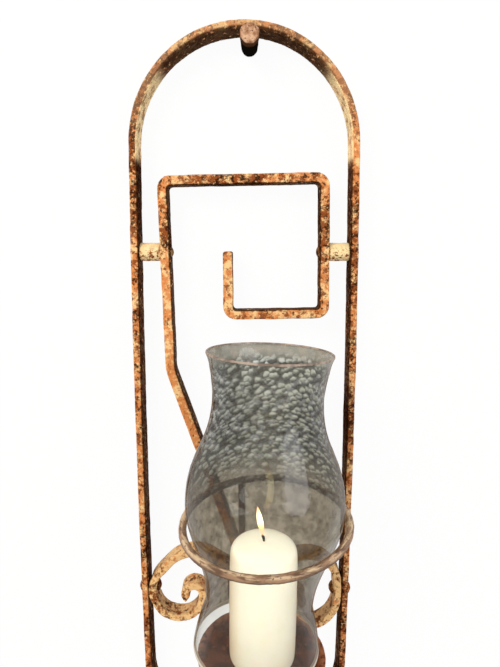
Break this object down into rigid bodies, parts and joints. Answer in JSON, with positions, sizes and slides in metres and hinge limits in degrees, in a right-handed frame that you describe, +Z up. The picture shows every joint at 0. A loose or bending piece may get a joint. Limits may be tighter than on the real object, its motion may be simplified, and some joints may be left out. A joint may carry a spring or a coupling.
{
  "type": "wall candle holder",
  "caption": "Forged iron candle holder that hangs on a wall peg, with scrollwork, a glass shade in a ring and a pillar candle on a plate.",
  "frame": {"origin": "on the peg's axis at the wall's surface", "axes": "+Z up the wall, +X to the right as seen from the room, +Y into the wall along the peg"},
  "size_m": [0.2552, 0.2517, 0.8496],
  "materials": {
    "iron_paint": "worn cream and orange paint over rusty forged iron",
    "cream_paint": "pale cream paint",
    "rivet_paint": "worn paint over hammered rivet heads",
    "peg_paint": "chalky paint over forged iron",
    "bare_rod": "bare rod with a brown patina",
    "rusted_plate": "evenly rusted sheet",
    "clear_glass": "clear blown glass",
    "candle_wax": "ivory wax",
    "wick_cotton": "burnt cotton"
  },
  "bodies": {
    "wall_peg": {"wall_peg": "peg_paint"},
    "holder": {"outer_frame": "iron_paint", "key_scroll": "iron_paint", "volute_left": "iron_paint", "volute_right": "iron_paint", "spacer_left": "cream_paint", "spacer_right": "cream_paint", "upper_rivet_left": "rivet_paint", "upper_rivet_right": "rivet_paint", "volute_rivet_left": "rivet_paint", "volute_rivet_right": "rivet_paint", "shade_ring": "bare_rod", "stem": "iron_paint", "collar": "iron_paint", "drip_plate": "rusted_plate", "plate_rivet": "rusted_plate"},
    "shade": {"glass_shade": "clear_glass"},
    "candle": {"candle": "candle_wax", "wick": "wick_cotton"}
  },
  "joints": [
    {"name": "peg_swing", "type": "hinge", "parent": "wall_peg", "child": "holder", "pos_m": [0, 0, 0], "axis": [0, 1, 0], "range_deg": [-12, 12]},
    {"name": "shade_lift", "type": "slide", "parent": "holder", "child": "shade", "axis": [0.0366, 0, 0.9993], "range_m": [0, 0.15]},
    {"name": "candle_lift", "type": "slide", "parent": "holder", "child": "candle", "axis": [0.0332, 0, 0.9995], "range_m": [0, 0.32]}
  ]
}
